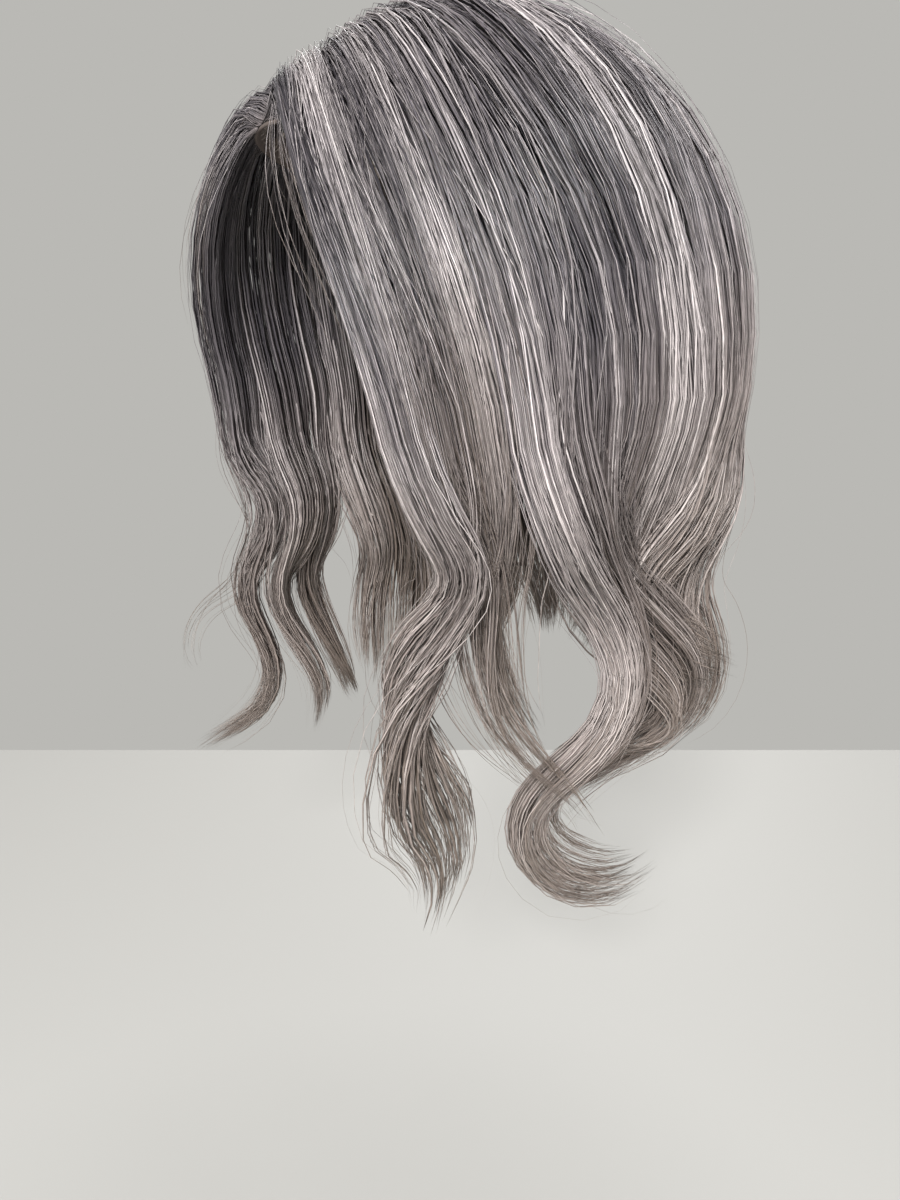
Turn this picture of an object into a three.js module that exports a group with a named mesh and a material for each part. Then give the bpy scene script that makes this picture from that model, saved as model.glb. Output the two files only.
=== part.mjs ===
// Hair topper: a dome of net that sits on the crown, four snap clips under it, and hair in locks
// that leave a centre part, follow the crown and hang in loose waves.
// Millimetres, +Z up. The wearer faces -Y and the wearer's left is +X.
// The origin is the top of the scalp, where the middle of the net sits.

import * as THREE from 'three'

// Scalp under the net: an ellipsoid whose highest point is the origin
const SCALP_HALF_WIDTH = 78
const SCALP_HALF_LENGTH = 98
const SCALP_HEIGHT = 98

// Net base: an oval in plan that lies on the scalp
const NET_HALF_WIDTH = 58
const NET_HALF_LENGTH = 68.9
const NET_MIDDLE_Y = 6.4
const NET_THICKNESS = 1.2
const NET_RINGS = 6
const NET_SEGMENTS = 36

// Snap clips: sprung plates under the net
const CLIP_LENGTH = 32
const CLIP_BARS = [2, 1.2, 3.6, 1.2, 2]
const CLIP_END = 3.5
const CLIP_TONGUE_GAP = 2.5
const CLIP_SLOT_CELLS = 5
const CLIP_THICKNESS = 1
const CLIP_CLEARANCE = 0.7
const CLIPS = [
  { name: 'clip_front', x: 0, y: -51, along: 'x' },
  { name: 'clip_left', x: 44, y: 11, along: 'y' },
  { name: 'clip_right', x: -44, y: 11, along: 'y' },
  { name: 'clip_back', x: 0, y: 61, along: 'x' },
]

// Centre part: the roots stand along it, from the forehead to the crown
const PART_FRONT_Y = -62
const PART_BACK_Y = 34
const PART_HALF_GAP = 1
const PART_SPREAD = 0.85

// Course of the hair over the crown: degrees that it bows towards the face, and then curls back at the side
const SWEEP = 8.3
const SWEEP_END = 130
const SWEEP_FADE = 40
const SWEEP_SKEW = 0.8
const CURL = 3
const CURL_AT = 95
const CURL_SPREAD = 13
const CURL_FROM = 0.35
const CURL_SKEW = 1.3

// Depth of the hair above the net, lower at the forehead
const HAIR_CLEARANCE = 2
const DEPTH_AT_ROOT = 3
const DEPTH_ON_CROWN = 16
const DEPTH_AT_SIDE = 11
const CROWN_AT = 0.2
const FRONT_LIFT = 0.55
const LIFT_LENGTH = 45

// Sections of a lock
const LOCK_GAP = 0.3
const RING_POINTS = 8
const RING_SQUARENESS = 0.7
const CROWN_STEPS = [0, 0.06, 0.14, 0.24, 0.35, 0.46, 0.57, 0.68, 0.79, 0.9, 1]
const HANG_STEP = 12
const HANG_SUBSTEPS = 8
const CROWN_EDGE = 0.97

// Width and depth of a hanging lock, as shares of its section at the widest level
const NARROWING_AT = 0.45
const NARROWING = 0.75
const FLARE_BEFORE_TIP = 38
const TAPER_BEFORE_TIP = 14
const TAPER_WIDTH = 0.7
const TIP_WIDTH = 0.2
const BLUNT_WIDTH = 0.5
const THIN_AT = 40
const THIN_DEPTH = 0.5
const TAPER_DEPTH = 0.4

// Waves of the hanging hair
const LEAN_SPACING = 20
const WAVE_LENGTH = 85
const WAVE_START = 20
const WAVE_GROWTH = 40
const TURN_LENGTH = 32
const TWIST_START = 45
const TUCK_FROM = 0.5
const TUCK_OVER = 0.4

// One row for each lock, front to back. Angles are in degrees.
// from, to: where it sits round the head, 0 at the face and 180 at the nape
// hang: its length below the widest level of the head
// rise: how far it stands out from its neighbours, or lies in under them
// roll, wave: shift and swing of its in and out wave      tuck: turn of its tip, out (+) or in (-)
// neckAt, neck: where it is narrowest, and how narrow     flare: its width near the tip
// turn: twist along the hanging length                    points: 1 for a pointed tip, 0 for a blunt one
// lean: its lean every 20 mm, towards the nape (+)
const LOCK_COLUMNS = ['from', 'to', 'hang', 'rise', 'roll', 'wave', 'tuck', 'neckAt', 'neck', 'flare',
  'turn', 'points', 'lean']
const LEFT_LOCKS = [
  [59, 65, 166, 7, 0, 18, 0, 60, 0.45, 1.9, 150, 0.3, [13, 24, 24, -30, -22, 8, 18, 14, -14, -30]],
  [65, 71, 150, 0, 0, 20, 22, 52, 0.3, 0.22, 40, 1, [18, 20, 16, 4, 10, 34, 40, 34]],
  [71, 78.5, 118, -6, 2, 22, -12, 54, 0.36, 0.42, 30, 1, [12, 10, 0, 0, 16, 30, 34, 34]],
  [78.5, 88, 214, 4.5, 4, 20, -8, 90, 0.5, 0.7, -30, 0.8,
    [8, 16, 30, 34, 12, -26, -40, -20, 26, 70, 92, 100]],
  [88, 96, 182, -4, 5, 20, -14, 80, 0.52, 0.7, -30, 0.8, [-5, 4, 20, 36, 42, 34, -16, -56, -64, -64]],
  [96, 106, 166, -11, 6, 20, -16, 80, 0.66, 0.74, -30, 0.8, [-6, -6, 10, 30, 40, 18, -30, -56, -60]],
  [106, 120, 158, -18.5, 8, 22, -22, 80, 0.56, 0.56, -30, 0.8, [-6, -8, -6, 4, 32, 38, -4, -50, -56]],
  [120, 138, 118, -6, 12, 26, 40, 80, 0.6, 0.4, 40, 1, [-4, -14, -26, -26, 4, 44, 52, 52]],
  [138, 159, 142, -3, 14, 26, -12, 80, 0.8, 0.8, 40, 0.5, [-2, -9, -18, -20, -6, 2, -6, -8, -8]],
  [159, 179.4, 144, 0, 16, 26, -12, 80, 0.85, 0.85, 40, 0.5, [0, -3, -7, -8, -2, 2, -2, -4, -4]],
]
const RIGHT_LOCKS = [
  [47, 57, 190, 4, 0, 22, 10, 90, 0.8, 0.9, 60, 1, [8, 10, 22, -10, -24, 10, 6, -16, -52, -60]],
  [57, 67, 172, -3, 0, 22, -6, 90, 0.8, 0.9, 60, 1, [6, 2, 8, -12, -18, 12, 20, 8, -14, -14]],
  [67, 77, 172, 3, 2, 22, 6, 90, 0.8, 0.8, 60, 1, [8, 4, 4, -12, -12, 12, 16, 18, 28, 32]],
  [77, 88, 158, -3, 4, 22, -16, 80, 0.85, 0.9, -40, 1, [8, 2, 8, 16, 14, -4, -18, -20, -20]],
  [88, 99, 152, 3, 6, 22, -12, 80, 0.9, 0.9, -40, 1, [5, -4, -2, 16, 24, 12, -16, -26, -26]],
  [99, 111, 154, -3, 8, 24, -12, 80, 0.8, 0.85, -40, 1, [2, -8, -8, 14, 24, 16, -18, -30, -30]],
  [111, 125, 148, 2, 10, 26, -8, 80, 0.9, 0.9, -40, 1, [0, -6, -8, 12, 20, 12, -14, -24, -24]],
  [125, 142, 142, -1, 12, 28, 14, 80, 0.85, 0.8, 40, 1, [0, -4, -6, 8, 12, 6, 4, 10, 10]],
  [142, 161, 140, 1, 14, 28, -10, 80, 0.9, 0.9, 40, 1, [0, -2, -4, 6, 8, 0, -6, -8, -8]],
  [161, 179.4, 142, 0, 16, 28, -12, 80, 0.9, 0.9, 40, 1, [0, 0, -4, 4, 6, 0, -4, -6, -6]],
]

// Colours of the plain materials
const NET_COLOUR = 0x8a8078
const CLIP_COLOUR = 0x3a3a3c
const HAIR_COLOUR = 0xa9a1a0

const DEGREE = Math.PI / 180
const UP = new THREE.Vector3(0, 0, 1)

function mix(a, b, k) {
  return a + (b - a) * k
}

function ease(x) {
  const k = Math.min(Math.max(x, 0), 1)
  return k * k * (3 - 2 * k)
}

// Value at a place between the rows of a table of [place, value]
function along(table, place) {
  for (let i = 1; i < table.length; i += 1) {
    const [from, a] = table[i - 1]
    const [to, b] = table[i]
    if (place <= to) return mix(a, b, Math.max(0, (place - from) / (to - from)))
  }
  return table[table.length - 1][1]
}

// Smooth curve through evenly spaced values, level past the last one
function smoothAt(values, x) {
  const last = values.length - 1
  const place = Math.min(x, last)
  const i = Math.min(Math.floor(place), last - 1)
  const f = place - i
  const a = values[Math.max(i - 1, 0)]
  const b = values[i]
  const c = values[i + 1]
  const d = values[Math.min(i + 2, last)]
  return b + 0.5 * f * (c - a + f * (2 * a - 5 * b + 4 * c - d + f * (3 * (b - c) + d - a)))
}

// Height of the layer `offset` outside the scalp, over the plan point x, y
function layerHeight(x, y, offset) {
  const u = x / (SCALP_HALF_WIDTH + offset)
  const v = y / (SCALP_HALF_LENGTH + offset)
  return (SCALP_HEIGHT + offset) * Math.sqrt(Math.max(0, 1 - u * u - v * v)) - SCALP_HEIGHT
}

// Closed mesh from points and triangles, turned to face outwards
function closedMesh(name, points, triangles, colour) {
  const volume = triangles.reduce((sum, [i, j, k]) => {
    return sum + points[i].dot(new THREE.Vector3().crossVectors(points[j], points[k]))
  }, 0)
  const index = triangles.flatMap(([i, j, k]) => (volume > 0 ? [i, j, k] : [i, k, j]))
  const geometry = new THREE.BufferGeometry()
  geometry.setAttribute('position', new THREE.Float32BufferAttribute(points.flatMap((p) => p.toArray()), 3))
  geometry.setIndex(index)
  geometry.computeVertexNormals()
  const mesh = new THREE.Mesh(geometry, new THREE.MeshStandardMaterial({ color: colour, roughness: 0.6 }))
  mesh.name = name
  return mesh
}

// Two triangles of a four-cornered face
function quad(a, b, c, d) {
  return [[a, b, c], [a, c, d]]
}

function netBase() {
  const points = []
  const triangles = []
  const sides = [0, NET_THICKNESS]
  const perSide = 1 + NET_RINGS * NET_SEGMENTS
  for (const offset of sides) {
    points.push(new THREE.Vector3(0, NET_MIDDLE_Y, layerHeight(0, NET_MIDDLE_Y, offset)))
    for (let ring = 1; ring <= NET_RINGS; ring += 1) {
      for (let i = 0; i < NET_SEGMENTS; i += 1) {
        const angle = (i / NET_SEGMENTS) * 2 * Math.PI
        const x = NET_HALF_WIDTH * (ring / NET_RINGS) * Math.cos(angle)
        const y = NET_MIDDLE_Y + NET_HALF_LENGTH * (ring / NET_RINGS) * Math.sin(angle)
        points.push(new THREE.Vector3(x, y, layerHeight(x, y, offset)))
      }
    }
  }
  const ringStart = (ring) => 1 + (ring - 1) * NET_SEGMENTS
  const at = (side, ring, i) => side * perSide + (ring ? ringStart(ring) + (i % NET_SEGMENTS) : 0)
  const rim = NET_RINGS
  for (let i = 0; i < NET_SEGMENTS; i += 1) {
    triangles.push([at(0, 0, 0), at(0, 1, i + 1), at(0, 1, i)])
    triangles.push([at(1, 0, 0), at(1, 1, i), at(1, 1, i + 1)])
    for (let ring = 1; ring < NET_RINGS; ring += 1) {
      triangles.push(...quad(at(0, ring, i), at(0, ring, i + 1), at(0, ring + 1, i + 1), at(0, ring + 1, i)))
      triangles.push(...quad(at(1, ring, i), at(1, ring + 1, i), at(1, ring + 1, i + 1), at(1, ring, i + 1)))
    }
    triangles.push(...quad(at(0, rim, i), at(0, rim, i + 1), at(1, rim, i + 1), at(1, rim, i)))
  }
  return closedMesh('net_base', points, triangles, NET_COLOUR)
}

// Plate with a frame and a tongue, bent to the underside of the net
function snapClip({ name, x, y, along: axis }) {
  const slotCell = (CLIP_LENGTH - 2 * CLIP_END - CLIP_TONGUE_GAP) / CLIP_SLOT_CELLS
  const lengths = [CLIP_END, ...Array(CLIP_SLOT_CELLS).fill(slotCell), CLIP_TONGUE_GAP, CLIP_END]
  const widths = CLIP_BARS
  const lines = (steps) => {
    const total = steps.reduce((sum, step) => sum + step, 0)
    return steps.reduce((list, step) => [...list, list[list.length - 1] + step], [-total / 2])
  }
  const us = lines(lengths)
  const vs = lines(widths)
  const inSlots = (i) => i > 0 && i < lengths.length - 1
  const filled = (i, j) => {
    if (i < 0 || j < 0 || i >= lengths.length || j >= widths.length) return false
    if (inSlots(i) && (j === 1 || j === 3)) return false
    return !(i === lengths.length - 2 && j === 2)
  }
  const radius = axis === 'x' ? SCALP_HALF_LENGTH : SCALP_HALF_WIDTH
  const lean = Math.sqrt(1 - ((axis === 'x' ? y : x) / radius) ** 2)
  const points = []
  const triangles = []
  const known = new Map()
  const at = (side, i, j) => {
    const key = `${side} ${i} ${j}`
    if (!known.has(key)) {
      const px = axis === 'x' ? x + us[i] : x + vs[j] * lean
      const py = axis === 'x' ? y + vs[j] * lean : y + us[i]
      const offset = -CLIP_CLEARANCE - (side ? 0 : CLIP_THICKNESS)
      known.set(key, points.length)
      points.push(new THREE.Vector3(px, py, layerHeight(px, py, offset)))
    }
    return known.get(key)
  }
  for (let i = 0; i < lengths.length; i += 1) {
    for (let j = 0; j < widths.length; j += 1) {
      if (!filled(i, j)) continue
      triangles.push(...quad(at(0, i, j), at(0, i, j + 1), at(0, i + 1, j + 1), at(0, i + 1, j)))
      triangles.push(...quad(at(1, i, j), at(1, i + 1, j), at(1, i + 1, j + 1), at(1, i, j + 1)))
      const walls = [
        [i, j - 1, i, j, i + 1, j],
        [i + 1, j, i + 1, j, i + 1, j + 1],
        [i, j + 1, i + 1, j + 1, i, j + 1],
        [i - 1, j, i, j + 1, i, j],
      ]
      for (const [ni, nj, ai, aj, bi, bj] of walls) {
        if (filled(ni, nj)) continue
        triangles.push(...quad(at(0, ai, aj), at(0, bi, bj), at(1, bi, bj), at(1, ai, aj)))
      }
    }
  }
  return closedMesh(name, points, triangles, CLIP_COLOUR)
}

// Depth of the hair at t, from 0 at a root at y to 1 at the widest level
function hairDepth(t, y) {
  const crown = DEPTH_ON_CROWN * mix(FRONT_LIFT, 1, ease((y - PART_FRONT_Y) / LIFT_LENGTH))
  const risen = mix(DEPTH_AT_ROOT, crown, ease(t / CROWN_AT))
  return risen + (DEPTH_AT_SIDE - crown) * ease((t - CROWN_AT) / (1 - CROWN_AT))
}

// Root on the part of the hair that hangs at an azimuth, where first is the side's foremost one
function rootY(azimuth, first) {
  const k = Math.max(0, (azimuth - first) / (180 - first))
  return mix(PART_FRONT_Y, PART_BACK_Y, k ** PART_SPREAD)
}

// Azimuth that hair makes for at t on its way down, before it settles at its own
function courseAt(azimuth, t) {
  const bow = SWEEP * ease((SWEEP_END - azimuth) / SWEEP_FADE) * Math.sin(Math.PI * t ** SWEEP_SKEW)
  const late = Math.max(0, (t - CURL_FROM) / (1 - CURL_FROM))
  const near = Math.exp(-(((azimuth - CURL_AT) / CURL_SPREAD) ** 2))
  return azimuth - bow + CURL * near * Math.sin(Math.PI * late ** CURL_SKEW)
}

// Plan point where hair of one layer turns down at the widest level
function dropPoint(azimuth, offset) {
  const x = (SCALP_HALF_WIDTH + offset) * Math.sin(azimuth * DEGREE)
  const y = -(SCALP_HALF_LENGTH + offset) * Math.cos(azimuth * DEGREE)
  return new THREE.Vector2(x, y)
}

// Point of a lock on the crown: t from root to side, p across from -1 to 1, q through from 0 to 1
function crownPoint(lock, t, p, q) {
  const azimuth = mix(lock.from, lock.to, 0.5 + 0.5 * p)
  const root = rootY(azimuth, lock.first)
  const offset = HAIR_CLEARANCE + q * hairDepth(t, root)
  const drop = dropPoint(courseAt(azimuth, t), offset)
  const travel = Math.sin((t * Math.PI) / 2)
  const x = mix(PART_HALF_GAP, drop.x, travel)
  const y = mix(root, drop.y, travel)
  return new THREE.Vector3(x, y, layerHeight(x, y, offset))
}

// Corners of a lock's section as [p, q], a rounded oblong
function sectionRing() {
  const soften = (value) => Math.sign(value) * Math.abs(value) ** RING_SQUARENESS
  return Array.from({ length: RING_POINTS }, (_, i) => {
    const angle = ((i + 0.5) / RING_POINTS) * 2 * Math.PI
    return [soften(Math.cos(angle)), 0.5 + 0.5 * soften(Math.sin(angle))]
  })
}

// Sections over the crown, drawn in a little so that neighbours stay apart
function crownSections(lock, ring) {
  return CROWN_STEPS.map((t) => {
    const halfWidth = 0.5 * crownPoint(lock, t, -1, 0.5).distanceTo(crownPoint(lock, t, 1, 0.5))
    const squeeze = 1 - LOCK_GAP / halfWidth
    return ring.map(([p, q]) => crownPoint(lock, t, p * squeeze, q))
  })
}

// Sections of the hanging hair, carried down a leaning and waving centre line
function hangingSections(lock, topSection) {
  const middle = (lock.from + lock.to) / 2
  const offset = HAIR_CLEARANCE + 0.5 * DEPTH_AT_SIDE
  const start = dropPoint(middle, offset)
  const back = new THREE.Vector3(
    (SCALP_HALF_WIDTH + offset) * Math.cos(middle * DEGREE),
    (SCALP_HALF_LENGTH + offset) * Math.sin(middle * DEGREE),
    0,
  ).normalize()
  const out = new THREE.Vector3(back.y, -back.x, 0)
  const centre = new THREE.Vector3(start.x, start.y, -SCALP_HEIGHT)
  const spokes = topSection.map((point) => {
    const spoke = point.clone().sub(centre)
    return [spoke.dot(back), spoke.dot(out)]
  })
  const before = crownPoint(lock, CROWN_EDGE, 0, 0.5).sub(centre)
  const arriving = Math.atan2(-before.dot(back), before.z) / DEGREE
  const tipWidth = mix(BLUNT_WIDTH * lock.flare, TIP_WIDTH, lock.points)
  const taperAt = lock.hang - TAPER_BEFORE_TIP
  const widths = [
    [0, 1],
    [NARROWING_AT * lock.neckAt, mix(1, lock.neck, NARROWING)],
    [lock.neckAt, lock.neck],
    [lock.hang - FLARE_BEFORE_TIP, lock.flare],
    [taperAt, TAPER_WIDTH * lock.flare],
    [lock.hang, tipWidth],
  ]
  const depths = [[0, 1], [THIN_AT, THIN_DEPTH], [taperAt, TAPER_DEPTH], [lock.hang, TIP_WIDTH]]
  const steps = Math.round(lock.hang / HANG_STEP)
  const substep = lock.hang / (steps * HANG_SUBSTEPS)
  const sections = []
  for (let i = 1; i <= steps * HANG_SUBSTEPS; i += 1) {
    const s = (i - 0.5) * substep
    const wave = Math.sin((2 * Math.PI * (s - WAVE_START - lock.roll)) / WAVE_LENGTH)
    const tip = ease((s / lock.hang - TUCK_FROM) / TUCK_OVER)
    const settling = (arriving - lock.lean[0]) * (1 - ease(s / TURN_LENGTH))
    const lean = DEGREE * (smoothAt(lock.lean, s / LEAN_SPACING) + settling)
    const swing = DEGREE * (lock.tuck * tip - lock.wave * ease(s / WAVE_GROWTH) * wave)
    const down = UP.clone().multiplyScalar(-Math.cos(lean)).addScaledVector(back, Math.sin(lean))
    const across = back.clone().multiplyScalar(Math.cos(lean)).addScaledVector(UP, Math.sin(lean))
    const through = out.clone().multiplyScalar(Math.cos(swing)).addScaledVector(down, -Math.sin(swing))
    centre.addScaledVector(down, Math.cos(swing) * substep).addScaledVector(out, Math.sin(swing) * substep)
    if (i % HANG_SUBSTEPS) continue
    const end = i * substep
    const place = centre.clone().addScaledVector(out, lock.rise * ease(end / WAVE_GROWTH))
    const twist = DEGREE * lock.turn * ease((end - TWIST_START) / WAVE_LENGTH)
    const width = along(widths, end)
    const depth = along(depths, end)
    sections.push(spokes.map(([a, b]) => {
      const u = width * a * Math.cos(twist) - depth * b * Math.sin(twist)
      const v = width * a * Math.sin(twist) + depth * b * Math.cos(twist)
      return place.clone().addScaledVector(across, u).addScaledVector(through, v)
    }))
  }
  return sections
}

// Closed solid through a row of sections
function hairLock(name, lock, side) {
  const ring = sectionRing()
  const crown = crownSections(lock, ring)
  const sections = [...crown, ...hangingSections(lock, crown[crown.length - 1])]
  const points = sections.flat()
  points.forEach((point) => point.setX(point.x * side))
  const triangles = []
  for (let row = 0; row < sections.length - 1; row += 1) {
    for (let i = 0; i < RING_POINTS; i += 1) {
      const j = (i + 1) % RING_POINTS
      const here = row * RING_POINTS
      const next = here + RING_POINTS
      triangles.push(...quad(here + i, here + j, next + j, next + i))
    }
  }
  const last = (sections.length - 1) * RING_POINTS
  for (let i = 1; i < RING_POINTS - 1; i += 1) {
    triangles.push([0, i + 1, i])
    triangles.push([last, last + i, last + i + 1])
  }
  return closedMesh(name, points, triangles, HAIR_COLOUR)
}

const topper = new THREE.Group()
topper.name = 'hair_topper'
topper.add(netBase())
CLIPS.forEach((clip) => topper.add(snapClip(clip)))
const SIDES = [['left', LEFT_LOCKS, 1], ['right', RIGHT_LOCKS, -1]]
SIDES.forEach(([word, rows, side]) => {
  rows.forEach((row, i) => {
    const lock = Object.fromEntries(LOCK_COLUMNS.map((column, k) => [column, row[k]]))
    lock.first = rows[0][0]
    topper.add(hairLock(`lock_${word}_${String(i + 1).padStart(2, '0')}`, lock, side))
  })
})

export default topper
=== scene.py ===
"""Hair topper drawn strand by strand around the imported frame, with its net, clips, camera and light."""
import math

import bpy
import numpy as np
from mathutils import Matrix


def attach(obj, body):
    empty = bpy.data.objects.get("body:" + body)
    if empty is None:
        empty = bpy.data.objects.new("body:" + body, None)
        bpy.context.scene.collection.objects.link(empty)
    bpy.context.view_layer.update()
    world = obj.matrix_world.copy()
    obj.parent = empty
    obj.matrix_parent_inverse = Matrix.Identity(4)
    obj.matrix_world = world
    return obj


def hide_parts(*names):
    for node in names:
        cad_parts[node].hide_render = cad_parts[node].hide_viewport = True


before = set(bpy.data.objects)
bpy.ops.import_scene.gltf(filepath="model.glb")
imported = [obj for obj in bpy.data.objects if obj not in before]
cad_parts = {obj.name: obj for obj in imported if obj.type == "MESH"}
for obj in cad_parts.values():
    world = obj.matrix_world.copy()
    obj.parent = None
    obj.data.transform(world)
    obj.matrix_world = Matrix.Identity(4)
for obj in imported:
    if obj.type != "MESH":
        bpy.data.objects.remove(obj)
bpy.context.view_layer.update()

# Shapes are worked out in millimetres and degrees, and turned into metres where a mesh is made
MM = 0.001
rng = np.random.default_rng(11)

# Scalp under the net, as in the frame
SCALP_HALF_WIDTH = 78.0
SCALP_HALF_LENGTH = 98.0
SCALP_HEIGHT = 98.0

# Net base, whose flat size and pitch are in metres, and the clips that hold it
NET_HALF_WIDTH = 58.0
NET_HALF_LENGTH = 68.9
NET_MIDDLE_Y = 6.4
NET_LOW = 0.2
NET_HIGH = 0.9
NET_RINGS = 24
NET_SEGMENTS = 120
NET_PITCH = 0.0022
CLIPS = ["clip_front", "clip_left", "clip_right", "clip_back"]

# Tape round the net's rim, and its zigzag of stitches. Map sizes are shares of the texture map.
HEM_WIDTH = 5.0
HEM_LOW = 0.0
HEM_HIGH = 1.0
HEM_BULGE = 1.012
TAPE_RIBS = 180.0
TAPE_MAP_LENGTH = 0.9
TAPE_MAP_ROW = 0.2
STITCHES = 150
STITCH_HALF_WIDTH = 0.2
STITCH_HEIGHT = 0.25
STITCH_SUNK = 0.1
STITCH_ENDS = (0.2, 0.8)
STITCH_STRIDE = 0.9
STITCH_MAP_PLACE = 0.95
STITCH_MAP_STEP = 0.1

# Centre part, and the bow of the hair towards the face on its way down from it
PART_FRONT_Y = -62.0
PART_BACK_Y = 34.0
PART_SPREAD = 0.85
SWEEP = 8.3
SWEEP_END = 130.0
SWEEP_FADE = 40.0
SWEEP_SKEW = 0.8

# A smaller, later bow towards the back, at the middle of each side
CURL = 3.0
CURL_AT = 95.0
CURL_SPREAD = 13.0
CURL_FROM = 0.35
CURL_SKEW = 1.3

# Depth of the hair above the net, lower at the forehead
HAIR_CLEARANCE = 2.0
DEPTH_AT_ROOT = 3.0
DEPTH_ON_CROWN = 16.0
DEPTH_AT_SIDE = 11.0
CROWN_AT = 0.2
CREST_X = 28.0
FRONT_LIFT = 0.55
LIFT_LENGTH = 45.0
ROOT_OFFSET = 1.0
ROOT_RISE = 0.2
ROOT_START = 0.15

# Centre line of a hanging lock, and its waves
LINE_STEPS = 240
LINE_RESERVE = 1.05
LINE_ARRIVAL = 0.97
LEAN_SPACING = 20.0
WAVE_LENGTH = 85.0
WAVE_START = 20.0
WAVE_GROWTH = 40.0
TURN_LENGTH = 32.0
TUCK_FROM = 0.5
TUCK_RUN = 0.4
TWIST_START = 45.0
TURN_RINGS = 35.0

# Width and depth down a lock, as shares of its size at the widest level
SHOULDER_AT = 0.45
SHOULDER_WIDTH = 0.9
FLARE_FROM_TIP = 38.0
TAPER_FROM_TIP = 14.0
TAPER_WIDTH = 0.7
TIP_WIDTH = 0.35
BLUNT_WIDTH = 0.5
THINNED_AT = 40.0
THINNED_DEPTH = 0.7
TAPER_DEPTH = 0.6

# The locks, front to back:
# start and end are azimuths from the face, and hang is the length below the widest level,
# rise moves the lock outward, roll shifts its waves, wave is their swing and tuck turns the tip outward,
# neck_at and neck set the width part of the way down, flare is the width near the tip and turn a twist,
# slant lengthens the back edge, points gathers the tip into points and thin shortens some strands,
# lean is the tilt towards the back at each LEAN_SPACING of length
LOCK_COLUMNS = "start end hang rise roll wave tuck neck_at neck flare turn slant points thin lean".split()
LEFT_LOCKS = [
    (59, 65, 166, 7, 0, 18, 0, 60, 0.8, 2.7, 150, 0.1, 0.4, 0.08,
     [13, 24, 24, -30, -22, 8, 18, 14, -14, -30]),
    (65, 71, 150, 0, 0, 20, 22, 52, 0.4, 0.3, 40, 0.0, 1.0, 0.55, [18, 20, 16, 4, 10, 34, 40, 34]),
    (71, 78.5, 118, -6, 2, 22, -12, 54, 0.5, 0.6, 30, 0.0, 1.0, 0.4, [12, 10, 0, 0, 16, 30, 34, 34]),
    (78.5, 88, 214, 4.5, 4, 20, -8, 90, 0.75, 1.0, -30, 0.0, 0.8, 0.08,
     [8, 16, 30, 34, 12, -26, -40, -20, 26, 70, 92, 100]),
    (88, 96, 182, -4, 5, 20, -14, 80, 1.0, 1.2, -30, 0.0, 0.8, 0.08,
     [-5, 4, 20, 36, 42, 34, -16, -56, -64, -64]),
    (96, 106, 166, -10, 6, 20, -16, 80, 1.0, 1.2, -30, 0.0, 0.8, 0.08,
     [-6, -6, 10, 30, 40, 18, -30, -56, -60]),
    (106, 120, 158, -9, 8, 22, -20, 80, 0.9, 0.9, -30, 0.0, 0.8, 0.08, [-6, -8, -6, 4, 32, 38, -4, -50, -56]),
    (120, 138, 118, -6, 12, 26, 40, 80, 0.8, 0.7, 40, 0.0, 0.6, 0.08, [-4, -14, -26, -26, 4, 44, 52, 52]),
    (138, 159, 142, -3, 14, 26, -12, 80, 1.0, 1.0, 40, 0.0, 0.5, 0.08, [-2, -9, -18, -20, -6, 2, -6, -8, -8]),
    (159, 180, 144, 0, 16, 26, -12, 80, 1.15, 1.15, 40, 0.0, 0.5, 0.08, [0, -3, -7, -8, -2, 2, -2, -4, -4]),
]
RIGHT_LOCKS = [
    (47, 57, 190, 4, 0, 22, 10, 90, 0.8, 0.9, 60, 0.0, 1.0, 0.08,
     [8, 10, 22, -10, -24, 10, 6, -16, -52, -60]),
    (57, 67, 172, -3, 0, 22, -6, 90, 0.8, 0.9, 60, 0.0, 1.0, 0.08, [6, 2, 8, -12, -18, 12, 20, 8, -14, -14]),
    (67, 77, 172, 3, 2, 22, 6, 90, 0.8, 0.8, 60, 0.0, 1.0, 0.08, [8, 4, 4, -12, -12, 12, 16, 18, 28, 32]),
    (77, 88, 158, -3, 4, 22, -16, 80, 0.9, 0.9, -40, 0.0, 1.0, 0.08, [8, 2, 8, 16, 14, -4, -18, -20, -20]),
    (88, 99, 152, 3, 6, 22, -12, 80, 0.9, 0.9, -40, 0.0, 1.0, 0.08, [5, -4, -2, 16, 24, 12, -16, -26, -26]),
    (99, 111, 154, -3, 8, 24, -12, 80, 0.9, 0.9, -40, 0.0, 1.0, 0.08, [2, -8, -8, 14, 24, 16, -18, -30, -30]),
    (111, 125, 148, 2, 10, 26, -8, 80, 0.9, 0.9, -40, 0.0, 1.0, 0.08, [0, -6, -8, 12, 20, 12, -14, -24, -24]),
    (125, 142, 142, -1, 12, 28, 14, 80, 0.95, 0.9, 40, 0.0, 0.6, 0.08, [0, -4, -6, 8, 12, 6, 4, 10, 10]),
    (142, 161, 140, 1, 14, 28, -10, 80, 1.0, 1.0, 40, 0.0, 0.5, 0.08, [0, -2, -4, 6, 8, 0, -6, -8, -8]),
    (161, 180, 142, 0, 16, 28, -12, 80, 1.15, 1.15, 40, 0.0, 0.5, 0.08, [0, 3, 6, 8, 4, -2, 0, 2, 2]),
]
SIDES = {"left": (1.0, LEFT_LOCKS), "right": (-1.0, RIGHT_LOCKS)}
GROUPS = {"front": range(0, 3), "side": range(3, 6), "back": range(6, 10)}

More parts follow.
